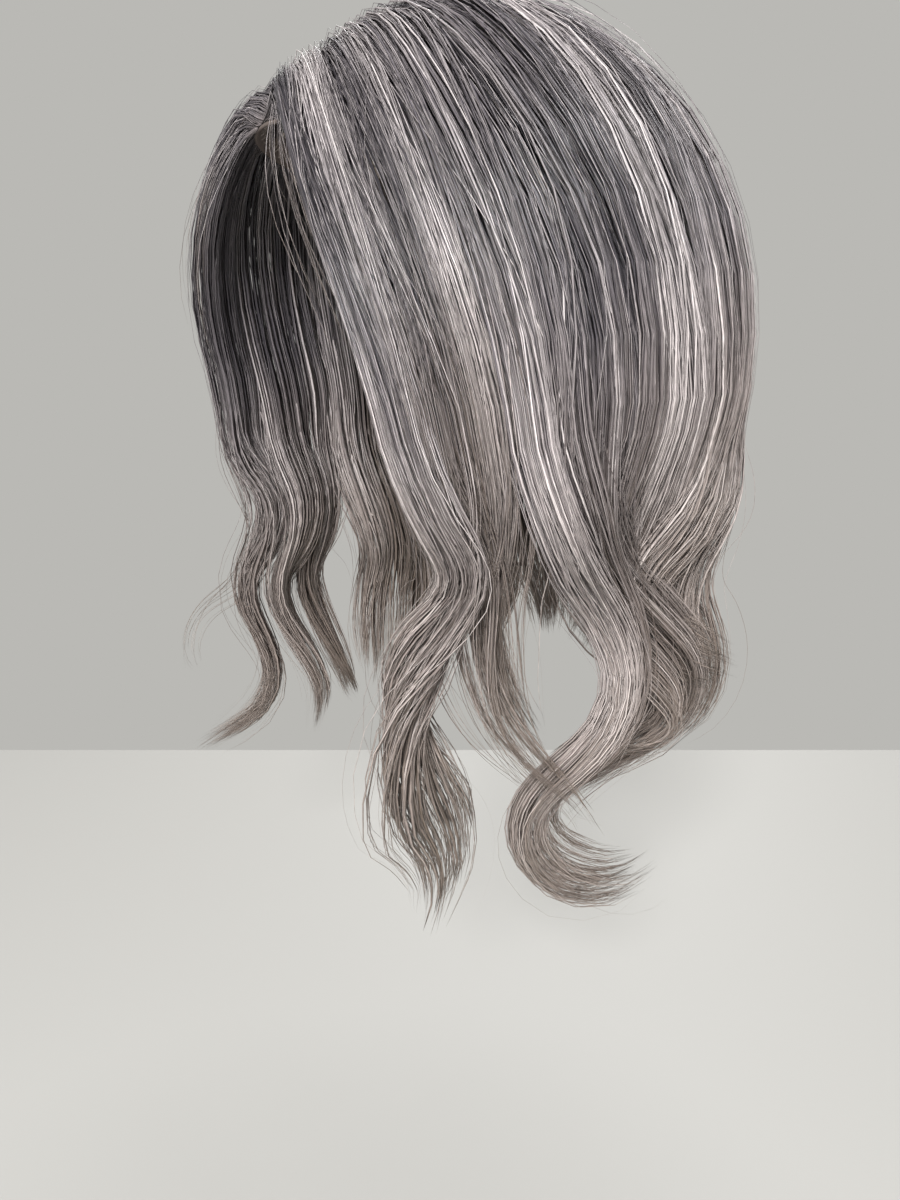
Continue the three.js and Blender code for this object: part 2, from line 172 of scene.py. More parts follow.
# Thin wisps that leave the locks, by side and group: how many strands each has, and its row
WISPS = {
    ("left", "front"): (18, (66, 72, 158, 6, 0, 20, 10, 52, 0.5, 0.8, 40, 0.0, 1.0, 0.3,
                             [13, 10, 2, 0, 16, 36, 40, 28, 12])),
    ("right", "front"): (14, (46, 50, 150, 6, 0, 22, 20, 80, 0.8, 0.8, 60, 0.0, 1.0, 0.08,
                              [6, 4, 10, 14, -10, -66, -40, 40, 55])),
}

# Kinds of strand: an even under layer, the clumped body of a lock, single strands over it, strays that
# stand off, wisps, whose count is in their own table, and hairs rooted along the front of the net's rim.
# deepest and highest are shares of the hair's depth, flatness is a section's height against its width,
# columns is the width on the shade map, loose and flying scale a strand's own drift on and below the crown,
# step is the length between rings, swell widens strands in wide locks, and clumped is 1 or 0
STRAND_COLUMNS = "count deepest highest half_width flatness columns loose flying step swell clumped".split()
STRAND_KINDS = {
    "under layer": (20, 0.0, 0.25, 0.7, 0.3, 8, 0.5, 0.5, 8.2, 0.6, 0.0),
    "body": (162, 0.0, 1.0, 0.3, 0.5, 4, 1.0, 1.0, 8.2, 0.6, 1.0),
    "single": (48, 0.5, 1.08, 0.1, 1.0, 1, 2.4, 2.2, 8.2, 0.0, 1.0),
    "stray": (11, 0.7, 1.2, 0.06, 1.0, 1, 4.5, 4.6, 4.1, 0.0, 1.0),
    "wisp": (0, 0.4, 1.0, 0.12, 1.0, 2, 2.5, 2.5, 4.1, 0.0, 1.0),
    "hairline": (56, 0.0, 0.5, 0.11, 0.8, 2, 1.0, 1.0, 8.2, 0.0, 1.0),
}
LOCK_KINDS = ("under layer", "body", "single", "stray")
SHORT_KIND = {"half_width": 0.055, "flatness": 1.0, "columns": 1}
STRAND_ANGLE = 10.0

# Clumps in each layer of a lock. A drift has a size, a slowest pace and a fastest one.
CLUMPS = 5
LAYERS = 3
CLUMP_SWERVE = (1.7, 0.25, 0.7)
CLUMP_LIFT = 0.12
CLUMP_GATHER = (-0.25, 0.5)
CLUMP_SWAY = (1.8, 0.5, 1.1)
CLUMP_TIGHT = (0.4, 0.9)
CLUMP_REACH = (0.93, 1.0)
CLUMP_SHADE = (0.04, 0.07)

# Spread of the strands in a lock, their roots, their rings over the crown and their own drift
LOCK_OVERLAP = 0.12
LEVEL_SKEW = 0.8
ROOT_X = (0.2, 1.6)
ROOT_SCATTER = 0.8
HAIRLINE = 26.0
CROWN_PLACES = np.array([
    0, 0.03, 0.07, 0.12, 0.175, 0.235, 0.305, 0.39, 0.485, 0.585, 0.69, 0.795, 0.9, 1.0,
])
CROWN_BELL = 0.9
STRAND_SWERVE = (0.6, 0.4, 1.1)
STRAND_LIFT = 0.05
ROUNDED_END = 0.04
CLOSE_FROM = 0.1
SWAY_LENGTH = 100.0
SWAY_GROWTH = 55.0
STRAND_SWAY = (0.7, 0.4, 1.0)

# Section of a strand, which faces outward and a little up, and its taper
SECTION_ANGLES = np.radians([90.0, 210.0, 330.0])
OUTWARD_LIFT = 40.0
STRAND_ROLL = 0.3
WIDTH_SPREAD = 0.35
WIDEST = 1.5
TAPER_FROM = 0.75
TAPER_SHARE = 0.7
SHORTEST = 1e-9

# Short hairs that loop over the part, from the lowest to the highest of each random size
SHORT_RINGS = 10
PART_LOOPS = 70
LOOP_ROOT_X = (4, 14)
LOOP_ACROSS = (4, 16)
LOOP_ALONG = (-16, 16)
LOOP_RISE = (1, 3.5)
LOOP_SUNK = 1
LOOP_SHADES = (0.1, 0.7)

# Fine hairs that stand forward of the hairline
FRONT_HAIRS = 24
FRONT_RUN = (0.5, 1.0)
FRONT_AWAY = (0, 9)
FRONT_INSET = 1
FRONT_BOW = 0.8
FRONT_DRIFT = (0.8, 0.5, 1.2)
FRONT_DEPTH = (1, 8)
FRONT_RISE = 0.15
FRONT_ROOT_X = (0.5, 6)
FRONT_ROOT_Y = (-1, 4)
FRONT_SHADES = (0.3, 1)

# Shade map: columns of crown shade across it, and up it a band for each side shade
SHADE_COLUMNS = 96
SHADE_BANDS = 5
BAND_MARGIN = 0.02
BAND_TOP = 0.999
BAND_SPREAD = 0.06
SHADE_WANDER = (0.015, 0.5, 1.5)
STRAND_SHADE = 0.13
# Deeper strands are made darker by this much, as painted shade under the outer strands
DEEP_PAINTED_SHADE = 0.2
COLUMN_SPREAD = 0.5
COLUMN_GAP = 3.7

# Along a strand: a slow change of the hair's own tone, then short painted glints, each between two levels of
# noise and brightness
STRAND_TONE_AND_GLINTS_COLUMNS = "pace detail dim bright".split()
STRAND_TONE_AND_GLINTS = [
    (7.0, 2.0, (0.3, 0.8), (0.7, 1.12)),
    (110.0, 0.0, (0.35, 0.84), (0.62, 1.24)),
]

# Light and dark streaks round the head, charted: azimuth, then shade from 0 to 1
# The crown chart is partly the hair's own tones and partly painted light: its bright band from 63 to 67.4
# degrees is painted sheen.
CROWN_TONES_AND_SHEEN = np.array([
    (47, 0.3), (57, 0.3), (59, 0.3), (59.2, 0.16), (62, 0.16), (63, 0.64), (67.4, 0.7), (68.6, 0.52),
    (69.4, 0.34), (73, 0.34), (74.4, 0.5), (77, 0.46), (79, 0.36), (81, 0.38), (84, 0.4), (89, 0.4),
    (91.3, 0.14), (94.5, 0.18), (96.5, 0.5), (98.5, 0.22), (100.5, 0.42), (102.5, 0.2), (105, 0.46),
    (110, 0.42), (114, 0.4), (120, 0.38), (126, 0.42),
    (132, 0.58), (140, 0.42), (150, 0.58), (160, 0.4), (170, 0.58), (180, 0.5),
])
# The side chart is partly the hair's own tones and partly painted light: bright lock edges, as at 59 and 82
# degrees, are painted highlights, and dark lock cores and gaps, as from 61 to 63 and at 87.2 degrees, are
# painted shade.
SIDE_TONES_HIGHLIGHTS_AND_SHADE = np.array([
    (47, 0.5), (59, 0.75), (60.2, 0.7), (61, 0.34), (63, 0.34), (64.2, 0.62), (67, 0.46), (70, 0.34),
    (72, 0.56), (76, 0.66), (79, 0.62), (82, 0.74), (85, 0.6), (86.2, 0.25), (87.2, 0.1), (88.2, 0.45),
    (91, 0.45), (94, 0.38), (99, 0.4), (101, 0.5), (103, 0.38), (105.5, 0.72), (108, 0.7), (109, 0.44),
    (112, 0.48), (114, 0.66), (125, 0.52), (135, 0.45), (145, 0.62), (155, 0.45), (165, 0.6), (180, 0.5),
])

# Camera at the photograph's place, in metres
CAMERA_PLACE = (0.2814, -0.1253, -0.078)
CAMERA_AZIMUTH = 66.0
CAMERA_PITCH = 18.3
CAMERA_LENS = 24.96
SENSOR_WIDTH = 36.0

# Pale table and soft light, in metres and watts
TABLE_Z = -0.372
TABLE_AHEAD = 0.541
TABLE_BEHIND = 3.0
TABLE_HALF_WIDTH = 4.0
LIGHT_COLUMNS = "place target size power".split()
LIGHTS = {
    "key": ((0.85, -0.6, 0.5), (0, 0, -0.08), 0.4, 25.0),
    "fill": ((0.5, 0.9, 0.3), (0, 0, -0.1), 0.8, 0.6),
    "back": ((-0.8, 0.6, 0.5), (0, 0, -0.1), 0.9, 12.0),
}


def ease(x):
    """A smooth step from 0 to 1."""
    k = np.clip(x, 0.0, 1.0)
    return k * k * (3.0 - 2.0 * k)


def smooth_at(values, x):
    """Smooth curve through evenly spaced values."""
    values = np.asarray(values, float)
    i = np.clip(np.floor(x).astype(int), 0, len(values) - 2)
    f = x - i
    a = values[np.maximum(i - 1, 0)]
    b = values[i]
    c = values[i + 1]
    d = values[np.minimum(i + 2, len(values) - 1)]
    return b + 0.5 * f * (c - a + f * (2 * a - 5 * b + 4 * c - d + f * (3 * (b - c) + d - a)))


def layer_height(x, y, offset):
    """Height of the layer that lies offset outside the scalp, over the plan point x, y."""
    u = x / (SCALP_HALF_WIDTH + offset)
    v = y / (SCALP_HALF_LENGTH + offset)
    return (SCALP_HEIGHT + offset) * np.sqrt(np.maximum(0.0, 1.0 - u * u - v * v)) - SCALP_HEIGHT


def root_y(azimuth, first):
    """Root on the part of the hair that hangs at an azimuth, where first is the side's foremost one."""
    k = np.maximum(0.0, (azimuth - first) / (180.0 - first))
    return PART_FRONT_Y + (PART_BACK_Y - PART_FRONT_Y) * k ** PART_SPREAD


def hair_depth(t, y):
    """Depth of the hair at t, from 0 at a root at y to 1 at the widest level."""
    lift = FRONT_LIFT + (1 - FRONT_LIFT) * ease((y - PART_FRONT_Y) / LIFT_LENGTH)
    crown = DEPTH_ON_CROWN * lift
    risen = DEPTH_AT_ROOT + (crown - DEPTH_AT_ROOT) * ease(t / CROWN_AT)
    return risen + (DEPTH_AT_SIDE - crown) * ease((t - CROWN_AT) / (1.0 - CROWN_AT))


def drop_point(azimuth, offset):
    """Plan point where hair of one layer turns down at the widest level."""
    a = np.radians(azimuth)
    return (SCALP_HALF_WIDTH + offset) * np.sin(a), -(SCALP_HALF_LENGTH + offset) * np.cos(a)


def crown_point(azimuth, offset, t, root_x, start_y):
    """Point of a strand over the crown, t of the way from its root to the widest level."""
    travel = np.sin(np.pi * t / 2)
    bow = SWEEP * ease((SWEEP_END - azimuth) / SWEEP_FADE) * np.sin(np.pi * t ** SWEEP_SKEW)
    late = np.clip((t - CURL_FROM) / (1 - CURL_FROM), 0.0, 1.0)
    curl = CURL * np.exp(-((azimuth - CURL_AT) / CURL_SPREAD) ** 2) * np.sin(np.pi * late ** CURL_SKEW)
    drop_x, drop_y = drop_point(azimuth - bow + curl, offset)
    x = root_x + (drop_x - root_x) * travel
    y = start_y + (drop_y - start_y) * travel
    return np.stack([x, y, layer_height(x, y, offset)], -1)


def lock_sizes(lock, s):
    """Shares of a lock's width and depth, and its twist, at the lengths s below the widest level."""
    hang = lock["hang"]
    flare = lock["flare"]
    blunt = TIP_WIDTH * lock["points"] + BLUNT_WIDTH * flare * (1 - lock["points"])
    places = [0, SHOULDER_AT * lock["neck_at"], lock["neck_at"],
              hang - FLARE_FROM_TIP, hang - TAPER_FROM_TIP, hang]
    width = np.interp(s, places, [1, SHOULDER_WIDTH, lock["neck"], flare, TAPER_WIDTH * flare, blunt])
    full = math.sqrt(max(1.0, flare))
    depth = np.interp(s, [0, THINNED_AT, hang - TAPER_FROM_TIP, hang],
                      [1, THINNED_DEPTH * full, TAPER_DEPTH * full, TIP_WIDTH])
    twist = np.radians(lock["turn"]) * ease((s - TWIST_START) / WAVE_LENGTH)
    return width, depth, twist


def centre_line(lock):
    """Places and axes down the middle of a hanging lock, with its width, depth and twist."""
    middle = (lock["start"] + lock["end"]) / 2
    turn = math.radians(middle)
    offset = HAIR_CLEARANCE + 0.5 * DEPTH_AT_SIDE
    back = np.array([(SCALP_HALF_WIDTH + offset) * math.cos(turn),
                     (SCALP_HALF_LENGTH + offset) * math.sin(turn), 0.0])
    back /= np.linalg.norm(back)
    out = np.array([back[1], -back[0], 0.0])
    up = np.array([0.0, 0.0, 1.0])
    hang = lock["hang"]
    step = LINE_RESERVE * hang / LINE_STEPS
    s = (np.arange(LINE_STEPS) + 0.5) * step
    # The lean starts from the direction in which the hair arrives over the crown
    lean = np.radians(smooth_at(lock["lean"], np.minimum(s / LEAN_SPACING, len(lock["lean"]) - 1)))
    before, after = crown_point(middle, offset, np.array([LINE_ARRIVAL, 1.0]), 0.0, 0.0)
    arriving = math.atan2((after - before) @ back, before[2] - after[2])
    lean = lean + (arriving - lean[0]) * (1 - ease(s / TURN_LENGTH))
    wave = np.sin(2 * np.pi * (s - WAVE_START - lock["roll"]) / WAVE_LENGTH)
    tip = ease((s / hang - TUCK_FROM) / TUCK_RUN)
    swing = np.radians(lock["tuck"] * tip - lock["wave"] * ease(s / WAVE_GROWTH) * wave)
    down = np.sin(lean)[:, None] * back - np.cos(lean)[:, None] * up
    across = np.cos(lean)[:, None] * back + np.sin(lean)[:, None] * up
    through = np.cos(swing)[:, None] * out - np.sin(swing)[:, None] * down
    travel = np.cos(swing)[:, None] * down + np.sin(swing)[:, None] * out
    start = np.array([*drop_point(middle, offset), -SCALP_HEIGHT])
    end = s + 0.5 * step
    place = start + np.cumsum(travel * step, axis=0)
    place = place + out * (lock["rise"] * ease(end / WAVE_GROWTH))[:, None]
    first = [np.zeros(1), start[None], back[None], out[None], np.ones(1), np.ones(1), np.zeros(1)]
    rest = [end, place, across, through, *lock_sizes(lock, end)]
    names = "s place across through width depth twist".split()
    line = {name: np.concatenate([a, b]) for name, a, b in zip(names, first, rest)}
    # Rings crowd where the line bends
    crowd = np.cumsum(1 + TURN_RINGS * np.abs(np.gradient(lean, step)))
    line.update(start=start, back=back, out=out, share=end / end[-1], crowd=crowd / crowd[-1])
    return line


def sample(line, name, s):
    """A centre line's values at the lengths s, which may be an array of any shape."""
    values = line[name]
    if values.ndim == 1:
        return np.interp(s, line["s"], values)
    return np.stack([np.interp(s, line["s"], values[:, k]) for k in range(3)], -1)


def habits(count, size, slow, fast):
    """Random sizes, paces and phases of a drift, one for each of count things."""
    return (rng.normal(0, size, (count, 1)), rng.uniform(slow, fast, (count, 1)),
            rng.uniform(0, 2 * np.pi, (count, 1)))


def drift(habit, x, members=slice(None)):
    """A smooth drift along x that starts at nothing."""
    size, pace, phase = (h[members] for h in habit)
    return size * (np.sin(2 * np.pi * pace * x + phase) - np.sin(phase))


def make_clumps():
    """What the strands of each clump of one lock have in common."""
    count = CLUMPS * LAYERS
    edges = np.sort(rng.uniform(-1, 1, (LAYERS, CLUMPS - 1)), axis=1)
    ends = np.ones((LAYERS, 1))
    bounds = np.concatenate([-ends, edges, ends], 1)
    return {
        "edges": edges,
        "middle": ((bounds[:, 1:] + bounds[:, :-1]) / 2).reshape(-1),
        "swerve": habits(count, *CLUMP_SWERVE),
        "lift": rng.normal(0, CLUMP_LIFT, count),
        "gather": rng.uniform(*CLUMP_GATHER, count),
        "sway_u": habits(count, *CLUMP_SWAY),
        "sway_v": habits(count, *CLUMP_SWAY),
        "tight": rng.uniform(*CLUMP_TIGHT, count),
        "reach": rng.uniform(*CLUMP_REACH, count),
        "shade": rng.normal(*CLUMP_SHADE, count),
    }


def scatter_strands(lock, clumps, kind):
    """Random places of strands across and through a lock, with their azimuths and clumps."""
    count = kind["count"]
    across = rng.uniform(-1, 1, count) + rng.normal(0, LOCK_OVERLAP, count)
    share = rng.uniform(0, 1, count) ** LEVEL_SKEW
    level = kind["deepest"] + (kind["highest"] - kind["deepest"]) * share
    layer = np.minimum((level * LAYERS).astype(int), LAYERS - 1)
    place = np.array([np.searchsorted(clumps["edges"][i], x) for i, x in zip(layer, across)])
    azimuth = (lock["start"] + lock["end"]) / 2 + (lock["end"] - lock["start"]) / 2 * across
    return {"across": across, "level": level, "azimuth": azimuth, "clump": layer * CLUMPS + place}


def crown_paths(lock, first, clumps, kind, strands, along_rim):
    """Paths over the crown, in clumps that draw together or spread and swerve over each other."""
    t = CROWN_PLACES[None, :]
    bell = np.sin(np.pi * CROWN_BELL * t)
    clump = strands["clump"]
    each = (len(clump), 1)
    half = (lock["end"] - lock["start"]) / 2
    apart = clumps["middle"][clump] - strands["across"]
    drawn = apart[:, None] * clumps["gather"][clump][:, None] * bell
    swerve = half * drawn + drift(clumps["swerve"], t, clump)
    azimuth = strands["azimuth"][:, None] + kind["clumped"] * swerve
    azimuth = azimuth + kind["loose"] * drift(habits(len(clump), *STRAND_SWERVE), t)
    azimuth = first + np.abs(azimuth - first)
    height = strands["level"][:, None] + kind["clumped"] * clumps["lift"][clump][:, None] * bell
    height = height + kind["loose"] * rng.normal(0, STRAND_LIFT, each) * bell
    start_y = root_y(strands["azimuth"], first)[:, None] + rng.normal(0, ROOT_SCATTER, each)
    depth = HAIR_CLEARANCE - ROOT_OFFSET + np.maximum(height, 0.0) * hair_depth(t, start_y)
    offset = ROOT_OFFSET + depth * ease(t / ROOT_RISE + ROOT_START)
    root_x = rng.uniform(*ROOT_X, each)
    if along_rim:
        root_x = rng.uniform(ROOT_X[0], HAIRLINE, each)
        start_y = NET_MIDDLE_Y - NET_HALF_LENGTH * np.sqrt(1 - (root_x / NET_HALF_WIDTH) ** 2)
    return crown_point(azimuth, offset, t, root_x, start_y)


def hanging_paths(lock, clumps, kind, strands, arrival):
    """Paths carried down a lock's centre line from their arrival, in clumps that sway and end apart."""
    line = centre_line(lock)
    spoke = arrival - line["start"]
    clump = strands["clump"]
    across = strands["across"]
    count = len(clump)
    thinned = 1 - lock["thin"] * rng.uniform(0, 1, count)
    short = thinned * (1 + lock["slant"] * across - ROUNDED_END * across ** 2)
    length = lock["hang"] * (1 - lock["points"] * (1 - clumps["reach"][clump])) * short
    rings = round(lock["hang"] / kind["step"])
    share = np.interp(np.arange(1, rings + 1) / rings, line["crowd"], line["share"])[None, :]
    s = length[:, None] * share
    # Strands close up towards the middle of their clump
    tight = 1 - kind["clumped"] * (1 - clumps["tight"][clump][:, None])
    close = 1 - lock["points"] * (1 - tight) * ease((share - CLOSE_FROM) / (1 - CLOSE_FROM))
    groups = CLUMPS * LAYERS
    members = np.maximum(np.bincount(clump, minlength=groups), 1)
    spread = []
    for axis in ("back", "out"):
        reach = spoke @ line[axis]
        knot = (np.bincount(clump, reach, groups) / members)[clump]
        spread.append(knot[:, None] + (reach - knot)[:, None] * close)
    wide = sample(line, "width", s) * spread[0]
    thick = sample(line, "depth", s) * spread[1]
    twist = sample(line, "twist", s)
    u = wide * np.cos(twist) - thick * np.sin(twist)
    v = wide * np.sin(twist) + thick * np.cos(twist)
    far = s / SWAY_LENGTH
    grown = ease(s / SWAY_GROWTH)
    paths = sample(line, "place", s)
    for value, sway, axis in ((u, "sway_u", "across"), (v, "sway_v", "through")):
        value = value + grown * kind["clumped"] * drift(clumps[sway], far, clump)
        value = value + grown * kind["flying"] * drift(habits(count, *STRAND_SWAY), far)
        paths = paths + value[..., None] * sample(line, axis, s)
    return paths


def lock_strands(lock, first, clumps, kind, along_rim=False):
    """Paths, count x rings x 3, and shades of one kind of strand, rooted at the part or on the net's rim."""
    strands = scatter_strands(lock, clumps, kind)
    crown = crown_paths(lock, first, clumps, kind, strands, along_rim)
    hanging = hanging_paths(lock, clumps, kind, strands, crown[:, -1])
    clump = strands["clump"]
    single = clumps["shade"][clump] + rng.normal(0, STRAND_SHADE, len(clump))
    # Deeper strands are darkened as painted shade
    single = single - DEEP_PAINTED_SHADE * (1 - strands["level"])
    return np.concatenate([crown, hanging], 1), streaks(strands["azimuth"]) + single[:, None]


def streaks(azimuth):
    """Shades of the charted streaks at each azimuth, on the crown and at the side, with the painted sheen,
    highlights and shade that the charts hold.
    """
    charts = (CROWN_TONES_AND_SHEEN, SIDE_TONES_HIGHLIGHTS_AND_SHADE)
    return np.stack([np.interp(azimuth, chart[:, 0], chart[:, 1]) for chart in charts], -1)


def part_loops():
    """Short hairs that rise beside the part and loop over it."""
    each = (PART_LOOPS, 1)
    side = rng.choice([-1.0, 1.0], each)
    k = np.linspace(0, 1, SHORT_RINGS)[None, :]
    x = side * (rng.uniform(*LOOP_ROOT_X, each) - rng.uniform(*LOOP_ACROSS, each) * k)
    y = rng.uniform(PART_FRONT_Y, PART_BACK_Y, each) + rng.uniform(*LOOP_ALONG, each) * k
    resting = layer_height(x, y, HAIR_CLEARANCE + hair_depth(CROWN_AT * np.abs(x) / CREST_X, y))
    z = resting - LOOP_SUNK + rng.uniform(*LOOP_RISE, each) * np.sin(np.pi * k)
    return np.stack([x, y, z], -1)


def front_hairs(first):
    """Fine hairs that bow forward of the hairline on their way down it."""
    each = (FRONT_HAIRS, 1)
    k = np.linspace(0, 1, SHORT_RINGS)[None, :]
    t = rng.uniform(*FRONT_RUN, each) * k
    away = rng.uniform(*FRONT_AWAY, each) * np.sin(np.pi * FRONT_BOW * k)
    azimuth = first + FRONT_INSET - away + drift(habits(FRONT_HAIRS, *FRONT_DRIFT), t)
    offset = ROOT_OFFSET + rng.uniform(*FRONT_DEPTH, each) * ease(t / FRONT_RISE)
    start_y = PART_FRONT_Y + rng.uniform(*FRONT_ROOT_Y, each)
    root_x = rng.uniform(*FRONT_ROOT_X, each)
    return crown_point(azimuth, offset, t, root_x, start_y)


def along(paths):
    """Place of each ring along its strand, from 0 to 1."""
    steps = np.linalg.norm(np.diff(paths, axis=1), axis=2)
    run = np.concatenate([np.zeros((len(paths), 1)), np.cumsum(steps, 1)], 1)
    return run / run[:, -1:]


def unit(vectors):
    """Vectors brought to a length of 1."""
    return vectors / np.maximum(np.linalg.norm(vectors, axis=2, keepdims=True), SHORTEST)


def strand_sections(paths, flatness):
    """Three corners round each point of each path, flattened towards the head."""
    tangent = unit(np.gradient(paths, axis=1))
    outward = paths * np.array([1.0, 1.0, 0.0]) + np.array([0.0, 0.0, OUTWARD_LIFT])
    rolled = rng.normal(0, STRAND_ROLL, (len(paths), 1, 3))
    outward = outward + rolled * np.linalg.norm(outward, axis=2, keepdims=True)
    first = unit(outward - (outward * tangent).sum(2, keepdims=True) * tangent)
    second = np.cross(tangent, first)
    high = np.sin(SECTION_ANGLES)[:, None]
    wide = np.cos(SECTION_ANGLES)[:, None]
    return flatness * first[:, :, None] * high + second[:, :, None] * wide


def strand_faces(rings):
    """Faces of one closed strand, each with the map column's share and the ring at its corners."""
    last = 3 * (rings - 2) + 1
    sides = np.arange(3)
    after = (sides + 1) % 3
    here = (1 + 3 * np.arange(rings - 3))[:, None]
    quads = np.stack([here + sides, here + 3 + sides, here + 3 + after, here + after], -1).reshape(-1, 4)
    heads = np.stack([np.zeros(3, int), 1 + sides, 1 + after], -1)
    tails = np.stack([last - 3 + sides, np.full(3, last), last - 3 + after], -1)
    from_u = np.array([0.5, 0.0, 1.0])
    to_u = np.array([0.0, 1.0, 0.5])
    middle_u = (from_u + to_u) / 2
    rows = np.arange(1, rings - 2)[:, None] + np.zeros(3, int)
    quad_u = np.tile(np.stack([from_u, from_u, to_u, to_u], -1), (rings - 3, 1))
    quad_ring = np.stack([rows, rows + 1, rows + 1, rows], -1).reshape(-1, 4)
    tri_u = np.concatenate([np.stack([middle_u, from_u, to_u], -1), np.stack([from_u, middle_u, to_u], -1)])
    tri_ring = np.array([[0, 1, 1]] * 3 + [[rings - 2, rings - 1, rings - 2]] * 3)
    return {"quads": (quads, quad_u, quad_ring), "tris": (np.concatenate([heads, tails]), tri_u, tri_ring)}


def strand_arrays(paths, shade, kind):
    """Points, faces and map places of closed three-sided strands, pointed at both ends."""
    count, rings, _ = paths.shape
    length_at = along(paths)
    sections = strand_sections(paths, kind["flatness"])
    taper = 1 - TAPER_SHARE * ease((length_at - TAPER_FROM) / (1 - TAPER_FROM))
    width = np.minimum(np.exp(rng.normal(0, WIDTH_SPREAD, (count, 1))), WIDEST)
    half = kind["half_width"] * width * taper
    points = paths[:, :, None] + sections * half[:, :, None, None]
    inner = points[:, 1:-1].reshape(count, -1, 3)
    verts = np.concatenate([paths[:, :1], inner, paths[:, -1:]], 1)
    # A strand lies on the shade map at its crown shade, in the band of its side shade
    wide = kind["columns"] / SHADE_COLUMNS
    wander = shade[:, :1] + drift(habits(count, *SHADE_WANDER), length_at)
    left = np.clip(wander, 0, 1) * (1 - wide)
    side_shade = np.clip(shade[:, 1:] + rng.normal(0, BAND_SPREAD, (count, 1)), 0, BAND_TOP)
    band = np.floor(side_shade * SHADE_BANDS)
    high = (band + BAND_MARGIN + (1 - 2 * BAND_MARGIN) * length_at) / SHADE_BANDS
    base = (np.arange(count) * verts.shape[1])[:, None, None]
    arrays = {"verts": verts.reshape(-1, 3)}
    for name, (faces, share, ring) in strand_faces(rings).items():
        arrays[name] = (faces[None] + base).reshape(-1, faces.shape[1])
        places = np.stack([left[:, ring] + share[None] * wide, high[:, ring]], -1)
        arrays[f"{name}_uv"] = places.reshape(-1, 2)
    return arrays


def strand_piece(name, parts):
    """One mesh from several sets of strand arrays."""
    counts = np.cumsum([0] + [len(part["verts"]) for part in parts])
    verts = np.concatenate([part["verts"] for part in parts])
    quads = np.concatenate([part["quads"] + n for part, n in zip(parts, counts)])
    tris = np.concatenate([part["tris"] + n for part, n in zip(parts, counts)])
    uv = np.concatenate([part["quads_uv"] for part in parts] + [part["tris_uv"] for part in parts])
    faces = len(quads) + len(tris)
    starts = np.concatenate([np.arange(len(quads)) * 4, quads.size + np.arange(len(tris)) * 3])
    loops = np.concatenate([quads.reshape(-1), tris.reshape(-1)])
    mesh = bpy.data.meshes.new(name)
    mesh.vertices.add(len(verts))
    mesh.vertices.foreach_set("co", (verts.reshape(-1) * MM).astype(np.float32))
    mesh.loops.add(len(loops))
    mesh.loops.foreach_set("vertex_index", loops.astype(np.int32))
    mesh.polygons.add(faces)
    mesh.polygons.foreach_set("loop_start", starts.astype(np.int32))
    mesh.polygons.foreach_set("use_smooth", np.ones(faces, bool))
    layer = mesh.uv_layers.new(name="OFBake")
    layer.data.foreach_set("uv", uv.reshape(-1).astype(np.float32))
    mesh.update()
    mesh.validate()
    piece = bpy.data.objects.new(name, mesh)
    bpy.context.scene.collection.objects.link(piece)
    return piece


def strand_kind(name):
    return dict(zip(STRAND_COLUMNS, STRAND_KINDS[name]))


def add_strands(parts, side, paths, shade, kind):
    """Turn strands to their side of the part, and add their arrays to a piece's parts."""
    paths[..., 0] *= side
    parts.append(strand_arrays(paths, shade, kind))


def hair_parts(word, group):
    """Strand arrays of one group of locks on one side, with the finer hair that goes with it."""
    side, rows = SIDES[word]
    locks = [dict(zip(LOCK_COLUMNS, row)) for row in rows]
    first = locks[0]["start"]
    parts = []
    for lock in (locks[i] for i in GROUPS[group]):
        clumps = make_clumps()
        angle = (lock["end"] - lock["start"]) * (1 + lock["flare"]) / 2
        for name in LOCK_KINDS:
            kind = strand_kind(name)
            kind["half_width"] *= (angle / STRAND_ANGLE) ** kind["swell"]
            add_strands(parts, side, *lock_strands(lock, first, clumps, kind), kind)
    if (word, group) in WISPS:
        count, row = WISPS[word, group]
        kind = dict(strand_kind("wisp"), count=count)
        lock = dict(zip(LOCK_COLUMNS, row))
        add_strands(parts, side, *lock_strands(lock, first, make_clumps(), kind), kind)
    if group == "front":
        kind = strand_kind("hairline")
        rooted = lock_strands(locks[0], first, make_clumps(), kind, along_rim=True)
        add_strands(parts, side, *rooted, kind)
        paths = front_hairs(first)
        add_strands(parts, side, paths, rng.uniform(*FRONT_SHADES, (len(paths), 2)), SHORT_KIND)
    if (word, group) == ("left", "side"):
        paths = part_loops()
        add_strands(parts, side, paths, rng.uniform(*LOOP_SHADES, (len(paths), 2)), SHORT_KIND)
    return parts


def linear(r, g, b):
    """A screen colour, with parts of 11 to 255, as the shader's linear colour."""
    shares = [c / 255 for c in (r, g, b)]
    return tuple(((c + 0.055) / 1.055) ** 2.4 for c in shares) + (1.0,)


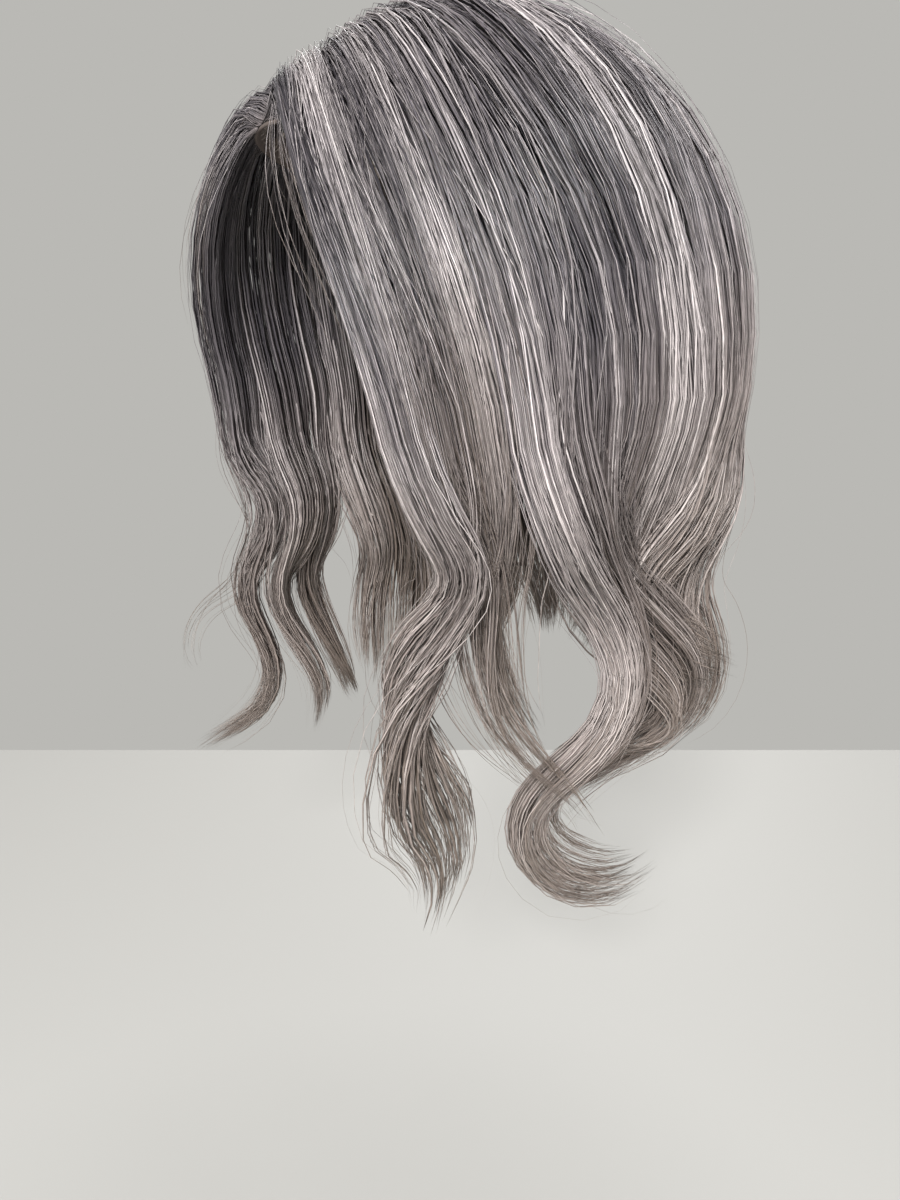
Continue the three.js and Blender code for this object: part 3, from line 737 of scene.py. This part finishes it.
class Nodes:
    """Short calls for building a node tree."""

    def __init__(self, name):
        self.material = bpy.data.materials.new(name)
        self.material.use_nodes = True
        self.tree = self.material.node_tree
        self.shader = self.tree.nodes["Principled BSDF"]

    def add(self, kind, links=(), **values):
        node = self.tree.nodes.new(kind)
        for key, value in values.items():
            setattr(node, key, value)
        for socket, source in dict(links).items():
            self.set(node.inputs[socket], source)
        return node

    def set(self, socket, source):
        if isinstance(source, bpy.types.NodeSocket):
            self.tree.links.new(source, socket)
        else:
            socket.default_value = source

    def math(self, operation, a, b=0.0, c=0.0):
        return self.add("ShaderNodeMath", {0: a, 1: b, 2: c}, operation=operation).outputs[0]

    def ramp(self, factor, *stops):
        """Colours along a factor, from pairs of place and colour."""
        node = self.add("ShaderNodeValToRGB", {0: factor})
        elements = node.color_ramp.elements
        while len(elements) < len(stops):
            elements.new(0.5)
        for element, (place, colour) in zip(elements, stops):
            element.position = place
            element.color = colour
        return node.outputs[0]

    def levels(self, factor, *stops):
        """Greys along a factor, from pairs of place and level."""
        return self.ramp(factor, *[(place, (level, level, level, 1.0)) for place, level in stops])

    def mix(self, factor, a, b, blend="MIX"):
        """A mix of colours, whose sockets are known only by number."""
        node = self.add("ShaderNodeMix", {}, data_type="RGBA", blend_type=blend)
        for place, value in ((0, factor), (6, a), (7, b)):
            self.set(node.inputs[place], value)
        return node.outputs[2]

    def noise(self, place, scale, detail):
        return self.add("ShaderNodeTexNoise", {"Vector": place, "Scale": scale, "Detail": detail}).outputs[0]

    def bump(self, height, strength, distance):
        links = {"Height": height, "Strength": strength, "Distance": distance}
        return self.add("ShaderNodeBump", links).outputs[0]

    def bake_map(self):
        return self.add("ShaderNodeUVMap", uv_map="OFBake").outputs[0]

    def object_place(self):
        return self.add("ShaderNodeTexCoord").outputs["Object"]

    def shade(self, **values):
        for name, value in values.items():
            self.set(self.shader.inputs[name.replace("_", " ")], value)


def hair_material():
    """Silver hair, with streaks from the shade map, warmer tips and darker roots, and painted light: glints,
    sheen, and shade between strands and towards the tips.
    """
    n = Nodes("silver_hair")
    split = n.add("ShaderNodeSeparateXYZ", {0: n.bake_map()})
    crown = split.outputs[0]
    place = n.math("MULTIPLY", crown, SHADE_COLUMNS)
    column = n.math("FLOOR", place)
    within = n.math("FRACT", place)
    row = n.math("MULTIPLY", split.outputs[1], SHADE_BANDS)
    band = n.math("FLOOR", row)
    length = n.math("FRACT", row)
    # The shade goes from the crown's to the side's, and single strands differ
    side = n.math("DIVIDE", n.math("ADD", band, 0.5), SHADE_BANDS)
    lower = n.levels(length, (0.29, 0.0), (0.47, 1.0))
    streak = n.math("MULTIPLY_ADD", n.math("SUBTRACT", side, crown), lower, crown)
    chance = n.add("ShaderNodeTexWhiteNoise", {"W": column}, noise_dimensions="1D").outputs[0]
    single = n.math("MULTIPLY_ADD", chance, COLUMN_SPREAD, -COLUMN_SPREAD / 2)
    calm = n.levels(length, (0.02, 0.5), (0.11, 1.0), (0.5, 1.0), (0.95, 0.85))
    tone = n.math("MULTIPLY_ADD", n.math("SUBTRACT", n.math("ADD", streak, single), 0.5), calm, 0.5)
    base = n.ramp(
        tone, (0.0, linear(40, 38, 43)), (0.25, linear(88, 83, 88)), (0.5, linear(142, 135, 136)),
        (0.75, linear(186, 178, 178)), (1.0, linear(212, 204, 203)),
    )
    tipped = n.mix(n.levels(length, (0.42, 0.0), (0.95, 0.5)), base, linear(188, 167, 148))
    colour = n.mix(n.levels(length, (0.0, 0.6), (0.06, 0.0)), tipped, linear(128, 113, 106))
    factors = []
    # A slow change of tone, then short painted glints
    for values in STRAND_TONE_AND_GLINTS:
        change = dict(zip(STRAND_TONE_AND_GLINTS_COLUMNS, values))
        across = n.math("MULTIPLY", column, COLUMN_GAP)
        down = n.math("MULTIPLY", length, change["pace"])
        at = n.add("ShaderNodeCombineXYZ", {0: across, 1: down}).outputs[0]
        noise = n.noise(at, 1.0, change["detail"])
        factors.append(n.levels(noise, change["dim"], change["bright"]))
    # Brightness down a strand: darker at the root, a brighter band high on the crown, a dip a third of the
    # way down, then dimmer towards the tips as painted shade of the lower locks
    factors.append(n.levels(
        length, (0.0, 0.7), (0.06, 0.88), (0.17, 1.15), (0.3, 0.87), (0.45, 1.02), (0.62, 0.93), (1.0, 0.76),
    ))
    # Painted shade in the thin gaps between strands: darker at each column's edges
    factors.append(n.levels(within, (0.0, 0.7), (0.25, 1.0), (0.75, 1.0), (1.0, 0.7)))
    for factor in factors:
        colour = n.mix(1.0, colour, factor, "MULTIPLY")
    round_off = n.math("SINE", n.math("MULTIPLY", within, math.pi))
    roughness = n.levels(length, (0.03, 0.75), (0.15, 0.36))
    relief = n.bump(round_off, 0.5, 0.0001)
    n.shade(Base_Color=colour, Roughness=roughness, Specular_IOR_Level=0.55, Normal=relief)
    return n.material


def net_material():
    """Net with round holes in a honeycomb, through which darker roots show."""
    n = Nodes("knotted_net")
    place = n.object_place()
    split = n.add("ShaderNodeSeparateXYZ", {0: place})
    waves = 0.0
    for degrees in (0, 60, 120):
        turn = math.radians(degrees)
        x = n.math("MULTIPLY", split.outputs[0], math.cos(turn) * 2 * math.pi / NET_PITCH)
        y = n.math("MULTIPLY", split.outputs[1], math.sin(turn) * 2 * math.pi / NET_PITCH)
        waves = n.math("ADD", n.math("COSINE", n.math("ADD", x, y)), waves)
    thread = n.levels(n.math("MULTIPLY", waves, 0.2), (0.0, 1.0), (0.22, 0.0))
    noise = n.noise(place, 700.0, 3.0)
    knots = n.ramp(noise, (0.35, linear(70, 65, 66)), (0.65, linear(128, 119, 114)))
    yarn = n.ramp(noise, (0.3, linear(176, 160, 146)), (0.7, linear(214, 200, 186)))
    n.shade(Base_Color=n.mix(thread, knots, yarn), Roughness=0.8, Normal=n.bump(thread, 0.6, 0.0003))
    return n.material


def tape_material():
    """Fine ribs across a woven tape."""
    n = Nodes("woven_tape")
    uv = n.bake_map()
    wave = {"Vector": uv, "Scale": TAPE_RIBS, "Distortion": 0.6, "Detail": 1.0}
    ribs = n.add("ShaderNodeTexWave", wave).outputs[0]
    shade = n.mix(0.35, ribs, n.noise(uv, 90.0, 3.0))
    colour = n.ramp(shade, (0.2, linear(70, 61, 57)), (0.8, linear(108, 96, 90)))
    n.shade(Base_Color=colour, Roughness=0.7, Normal=n.bump(ribs, 0.4, 0.0002))
    return n.material


def thread_material():
    n = Nodes("sewing_thread")
    noise = n.noise(n.object_place(), 1500.0, 2.0)
    colour = n.ramp(noise, (0.3, linear(96, 88, 84)), (0.7, linear(150, 140, 134)))
    n.shade(Base_Color=colour, Roughness=0.6)
    return n.material


def metal_material():
    n = Nodes("clip_metal")
    noise = n.noise(n.object_place(), 400.0, 3.0)
    colour = n.ramp(noise, (0.3, linear(30, 29, 30)), (0.7, linear(52, 50, 50)))
    n.shade(Base_Color=colour, Metallic=0.6, Roughness=0.38)
    return n.material


def paint(piece, material):
    piece.data.materials.clear()
    piece.data.materials.append(material)


def net_piece(name, verts, faces, materials, kinds, uv):
    """A mesh from lists, with a material number for each face and a map place for each vertex."""
    mesh = bpy.data.meshes.new(name)
    mesh.from_pydata([tuple(v) for v in np.asarray(verts) * MM], [], faces)
    mesh.polygons.foreach_set("use_smooth", np.ones(len(faces), bool))
    mesh.polygons.foreach_set("material_index", np.array(kinds, np.int32))
    corners = np.empty(len(mesh.loops), np.int32)
    mesh.loops.foreach_get("vertex_index", corners)
    layer = mesh.uv_layers.new(name="OFBake")
    layer.data.foreach_set("uv", np.asarray(uv, np.float32)[corners].reshape(-1))
    for material in materials:
        mesh.materials.append(material)
    piece = bpy.data.objects.new(name, mesh)
    bpy.context.scene.collection.objects.link(piece)
    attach(piece, "root")
    return piece


def net_point(share, turn, offset):
    """Point on the net: share of the way out to the rim, at a turn in radians from the face."""
    x = NET_HALF_WIDTH * share * np.sin(turn)
    y = NET_MIDDLE_Y - NET_HALF_LENGTH * share * np.cos(turn)
    return np.stack(np.broadcast_arrays(x, y, layer_height(x, y, offset)), -1)


def net_dome(material):
    """The closed thin dome of net, an under and an upper skin joined at the rim."""
    share = np.linspace(0, 1, NET_RINGS + 1)[1:, None]
    turn = 2 * np.pi * np.arange(NET_SEGMENTS)[None, :] / NET_SEGMENTS
    verts = []
    for offset in (NET_LOW, NET_HIGH):
        verts.append(net_point(0.0, np.zeros(1), offset))
        verts.append(net_point(share, turn, offset).reshape(-1, 3))
    verts = np.concatenate(verts)
    skin = 1 + NET_RINGS * NET_SEGMENTS
    rim = skin - NET_SEGMENTS
    faces = []
    for i in range(NET_SEGMENTS):
        j = (i + 1) % NET_SEGMENTS
        faces.append((0, 1 + i, 1 + j))
        faces.append((skin, skin + 1 + j, skin + 1 + i))
        for ring in range(NET_RINGS - 1):
            a = 1 + ring * NET_SEGMENTS
            b = a + NET_SEGMENTS
            faces.append((a + i, b + i, b + j, a + j))
            faces.append((skin + a + j, skin + b + j, skin + b + i, skin + a + i))
        faces.append((rim + i, skin + rim + i, skin + rim + j, rim + j))
    plan = verts[:, :2] - np.array([0, NET_MIDDLE_Y])
    uv = 0.5 + 0.5 * plan / np.array([NET_HALF_WIDTH, NET_HALF_LENGTH])
    return net_piece("net_dome", verts, faces, [material], [0] * len(faces), uv)


def stitch_points(i, inner, low, high):
    """Corners of one stitch: at each of its two ends two sides, each with a low and a high point."""
    ends = STITCH_ENDS if i % 2 else STITCH_ENDS[::-1]
    points = []
    for k, end in enumerate(ends):
        share = inner + (1 - inner) * end
        turn = 2 * np.pi * (i + STITCH_STRIDE * k) / STITCHES
        for side in (-1, 1):
            edge = turn + side * STITCH_HALF_WIDTH / NET_HALF_LENGTH
            points += [net_point(share, edge, offset) for offset in (low, high)]
    return points


def net_hem(tape, thread):
    """A tape round the net's rim, with its zigzag of stitches on the underside and on top."""
    inner = 1 - HEM_WIDTH / NET_HALF_WIDTH
    section = [
        (inner, HEM_LOW), (1.0, HEM_LOW), (HEM_BULGE, 0.5 * HEM_HIGH), (1.0, HEM_HIGH), (inner, HEM_HIGH),
    ]
    turn = 2 * np.pi * np.arange(NET_SEGMENTS) / NET_SEGMENTS
    verts = []
    uv = []
    faces = []
    for i, (share, offset) in enumerate(section):
        verts += list(net_point(share, turn, offset))
        here = i * NET_SEGMENTS
        there = (i + 1) % len(section) * NET_SEGMENTS
        for k in range(NET_SEGMENTS):
            after = (k + 1) % NET_SEGMENTS
            uv.append((TAPE_MAP_LENGTH * k / NET_SEGMENTS, TAPE_MAP_ROW * i))
            faces.append((here + k, here + after, there + after, there + k))
    kinds = [0] * len(faces)
    heights = [
        (HEM_LOW - STITCH_HEIGHT, HEM_LOW + STITCH_SUNK), (HEM_HIGH - STITCH_SUNK, HEM_HIGH + STITCH_HEIGHT),
    ]
    box_faces = [(0, 1, 3, 2), (4, 6, 7, 5), (0, 4, 5, 1), (2, 3, 7, 6), (0, 2, 6, 4), (1, 5, 7, 3)]
    for i in range(STITCHES):
        for low, high in heights:
            base = len(verts)
            points = stitch_points(i, inner, low, high)
            verts += points
            uv += [(STITCH_MAP_PLACE, STITCH_MAP_STEP * (1 + k)) for k in range(len(points))]
            faces += [tuple(base + v for v in face) for face in box_faces]
            kinds += [1] * len(box_faces)
    return net_piece("net_hem", verts, faces, [tape, thread], kinds, uv)


def place_camera():
    data = bpy.data.cameras.new("camera")
    data.lens = CAMERA_LENS
    data.sensor_width = SENSOR_WIDTH
    camera = bpy.data.objects.new("camera", data)
    camera.location = CAMERA_PLACE
    camera.rotation_euler = (math.radians(90 - CAMERA_PITCH), 0, math.radians(CAMERA_AZIMUTH))
    bpy.context.scene.collection.objects.link(camera)
    bpy.context.scene.camera = camera


def lay_table():
    """A pale table that ends a little way behind the hair, as the camera sees it."""
    azimuth = math.radians(CAMERA_AZIMUTH)
    ahead = np.array([-math.sin(azimuth), math.cos(azimuth), 0.0])
    aside = TABLE_HALF_WIDTH * np.array([math.cos(azimuth), math.sin(azimuth), 0.0])
    foot = np.array([CAMERA_PLACE[0], CAMERA_PLACE[1], TABLE_Z])
    far = foot + ahead * TABLE_AHEAD
    near = foot - ahead * TABLE_BEHIND
    corners = [far - aside, far + aside, near + aside, near - aside]
    mesh = bpy.data.meshes.new("table")
    mesh.from_pydata([tuple(corner) for corner in corners], [], [(0, 1, 2, 3)])
    table = bpy.data.objects.new("table", mesh)
    bpy.context.scene.collection.objects.link(table)
    n = Nodes("pale_table")
    n.shade(Base_Color=linear(168, 167, 164), Roughness=0.6)
    mesh.materials.append(n.material)


def area_light(name, place, target, size, power):
    data = bpy.data.lights.new(name, "AREA")
    data.shape = "DISK"
    data.size = size
    data.energy = power
    lamp = bpy.data.objects.new(name, data)
    lamp.location = place
    aim = np.array(target) - np.array(place)
    yaw = math.atan2(aim[1], aim[0])
    tilt = math.acos(-aim[2] / np.linalg.norm(aim))
    lamp.rotation_euler = (tilt, 0, yaw - math.pi / 2)
    bpy.context.scene.collection.objects.link(lamp)


def light_room():
    world = bpy.data.worlds.new("room")
    world.use_nodes = True
    background = world.node_tree.nodes["Background"]
    background.inputs["Color"].default_value = linear(186, 185, 181)
    background.inputs["Strength"].default_value = 1.0
    bpy.context.scene.world = world
    for name, row in LIGHTS.items():
        area_light(name, **dict(zip(LIGHT_COLUMNS, row)))


hair = hair_material()
for word in SIDES:
    for group, numbers in GROUPS.items():
        piece = strand_piece(f"hair_{word}_{group}", hair_parts(word, group))
        paint(piece, hair)
        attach(piece, "root")
        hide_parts(*[f"lock_{word}_{i + 1:02d}" for i in numbers])

metal = metal_material()
for clip in CLIPS:
    paint(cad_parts[clip], metal)

hem = net_hem(tape_material(), thread_material())
net = net_dome(net_material())
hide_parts("net_base")

place_camera()
lay_table()
light_room()
bpy.context.scene.view_settings.view_transform = "Standard"
